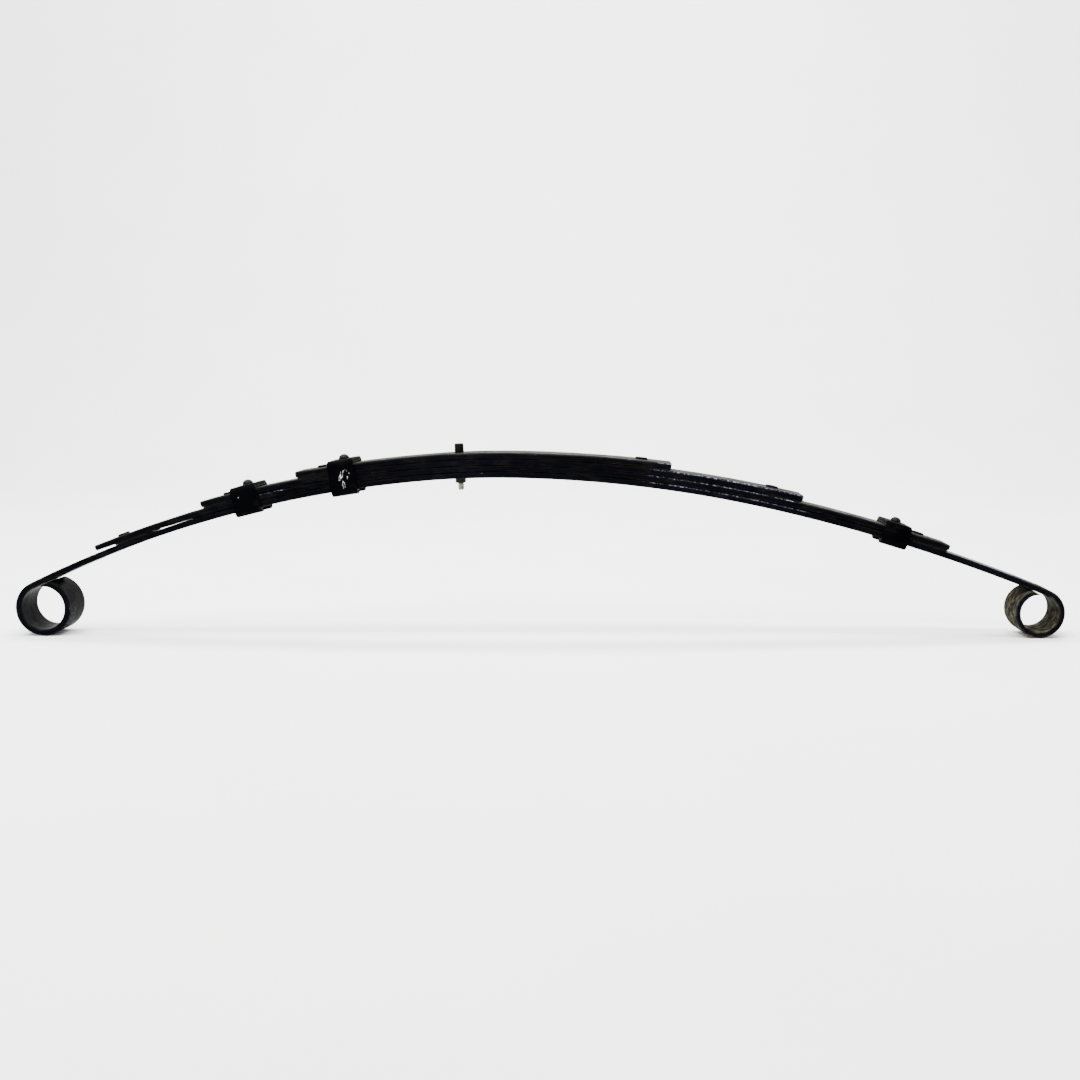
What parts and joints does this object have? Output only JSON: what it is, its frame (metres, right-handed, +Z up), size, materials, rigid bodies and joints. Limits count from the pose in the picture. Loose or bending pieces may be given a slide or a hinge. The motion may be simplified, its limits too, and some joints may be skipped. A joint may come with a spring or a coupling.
{
  "type": "leaf spring",
  "caption": "Arched semi-elliptic leaf spring of stacked steel leaves with rolled eyes of unequal bore, riveted rebound clips, tip pads and a centre bolt.",
  "frame": {"origin": "on the floor under the middle of the spring's box, which stands arched on its two eyes", "axes": "+X along the leaves towards the small eye, +Y along the eye bores, +Z up, out of the convex side that takes the axle seat"},
  "size_m": [1.365, 0.0728, 0.251],
  "materials": {
    "leaf_paint": "satin black paint",
    "strap_paint": "satin black paint, scuffed",
    "rivet_steel": "thin black paint over brown steel",
    "bolt_steel": "blackened steel",
    "nut_steel": "blackened steel",
    "liner_rubber": "matte",
    "pad_plastic": "matte"
  },
  "bodies": {
    "main_leaf": {"main_leaf": "leaf_paint"},
    "leaf_pack": {"second_leaf": "leaf_paint", "third_leaf": "leaf_paint", "fourth_leaf": "leaf_paint", "centre_bolt": "bolt_steel", "centre_nut": "nut_steel", "second_leaf_left_pad": "pad_plastic", "second_leaf_right_pad": "pad_plastic", "third_leaf_left_pad": "pad_plastic", "third_leaf_right_pad": "pad_plastic", "fourth_leaf_left_pad": "pad_plastic", "fourth_leaf_right_pad": "pad_plastic"},
    "left_outer_clip": {"left_outer_strap": "strap_paint", "left_outer_liner": "liner_rubber", "left_outer_rivet": "rivet_steel"},
    "left_inner_clip": {"left_inner_strap": "strap_paint", "left_inner_liner": "liner_rubber", "left_inner_rivet": "rivet_steel"},
    "right_clip": {"right_strap": "strap_paint", "right_liner": "liner_rubber", "right_rivet": "rivet_steel"}
  },
  "joints": [
    {"name": "axle_seat_travel", "type": "slide", "parent": "main_leaf", "child": "leaf_pack", "axis": [0, 0, 1], "range_m": [-0.06, 0.01], "stiffness_N_per_m": 32000, "deforming": ["main_leaf", "second_leaf", "third_leaf", "fourth_leaf", "second_leaf_left_pad", "second_leaf_right_pad", "third_leaf_left_pad", "third_leaf_right_pad", "fourth_leaf_left_pad", "fourth_leaf_right_pad"]},
    {"name": "left_outer_clip_swing", "type": "hinge", "parent": "main_leaf", "child": "left_outer_clip", "pos_m": [-0.5264, 0, 0.15595], "axis": [0, 1, 0], "range_deg": [-1.76, 10.39]},
    {"name": "left_inner_clip_swing", "type": "hinge", "parent": "main_leaf", "child": "left_inner_clip", "pos_m": [-0.60135, 0, 0.17032], "axis": [0, 1, 0], "range_deg": [-1.35, 7.97]},
    {"name": "right_clip_swing", "type": "hinge", "parent": "main_leaf", "child": "right_clip", "pos_m": [0.54954, 0, 0.12417], "axis": [0, 1, 0], "range_deg": [-5.19, 0.89]}
  ],
  "couplings": [
    {"joint": "left_outer_clip_swing", "follows": "axle_seat_travel", "rad_per_m": -3.015},
    {"joint": "left_inner_clip_swing", "follows": "axle_seat_travel", "rad_per_m": -2.3116},
    {"joint": "right_clip_swing", "follows": "axle_seat_travel", "rad_per_m": 1.5023}
  ]
}
